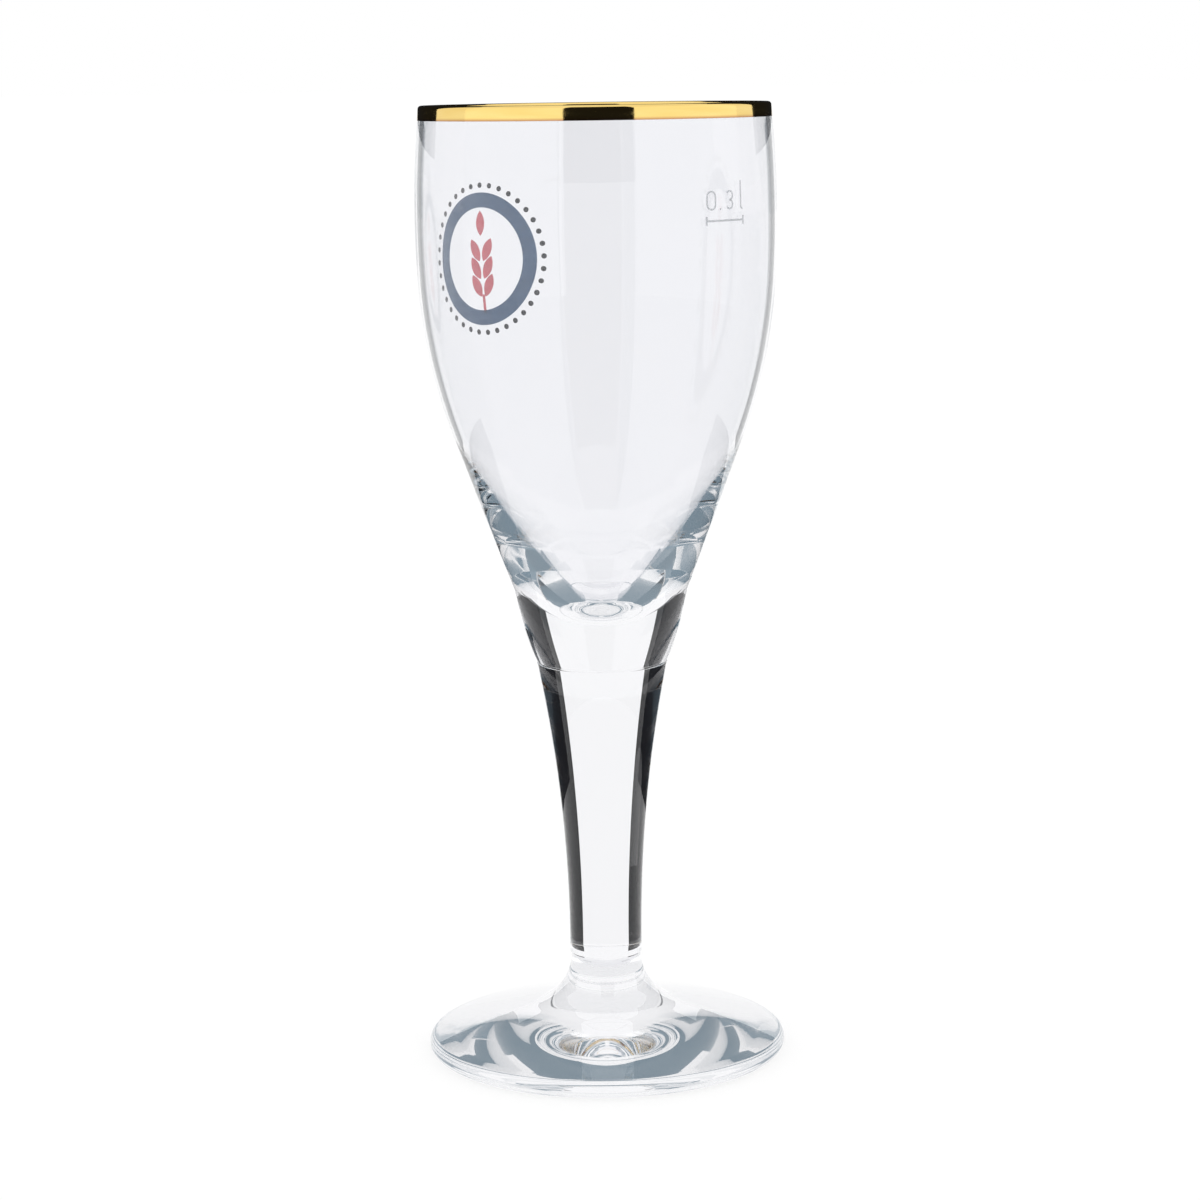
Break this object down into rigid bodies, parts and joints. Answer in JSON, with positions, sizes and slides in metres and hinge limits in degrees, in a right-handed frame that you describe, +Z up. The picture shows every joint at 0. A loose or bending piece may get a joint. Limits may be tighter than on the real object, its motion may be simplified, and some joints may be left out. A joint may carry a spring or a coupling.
{
  "type": "chalice beer glass",
  "caption": "Stemmed chalice beer glass: thin tulip bowl with a gold lip band, enamel medallion and fill line, solid tapered stem and flared round foot.",
  "frame": {"origin": "centre of the foot's underside, on the surface that the glass stands on", "axes": "+Z up along the glass's axis; the fill line faces the front right, the medallion the back left"},
  "size_m": [0.0856, 0.0856, 0.2251],
  "materials": {
    "clear_glass": "clear fire-polished soda-lime glass",
    "fired_gold": "bright fired gold",
    "blue_enamel": "translucent fired enamel",
    "dark_enamel": "fired enamel",
    "red_enamel": "translucent fired enamel",
    "white_enamel": "thin fired enamel"
  },
  "bodies": {
    "root": {"bowl": "clear_glass", "stem": "clear_glass", "foot": "clear_glass", "gold_band": "fired_gold", "emblem_ring": "blue_enamel", "emblem_beads": "dark_enamel", "emblem_ear": "red_enamel", "fill_line": "white_enamel"}
  },
  "joints": []
}
